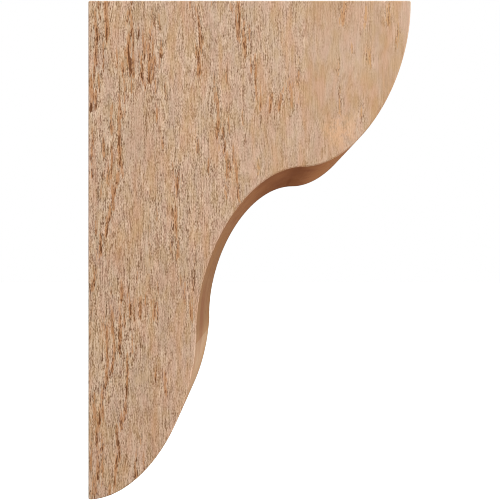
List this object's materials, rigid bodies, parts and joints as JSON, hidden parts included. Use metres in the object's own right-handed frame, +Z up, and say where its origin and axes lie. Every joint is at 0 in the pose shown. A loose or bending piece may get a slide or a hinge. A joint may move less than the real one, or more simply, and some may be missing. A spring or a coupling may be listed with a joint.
{
  "type": "wooden corbel bracket",
  "caption": "Solid timber corbel bracket with a flat back and top, rough-sawn sides and an S-shaped front of nose, cove and heel, for carrying an eave, shelf or mantel off a wall.",
  "frame": {"origin": "middle of the flat back face, which goes against the wall", "axes": "+X out from the wall, +Y across the timber's width, +Z up to the flat top face"},
  "size_m": [0.2299, 0.1396, 0.3556],
  "materials": {
    "sawn_softwood": "unfinished softwood, rough-sawn sides, smooth sawn front"
  },
  "bodies": {
    "root": {"corbel": "sawn_softwood"}
  },
  "joints": []
}
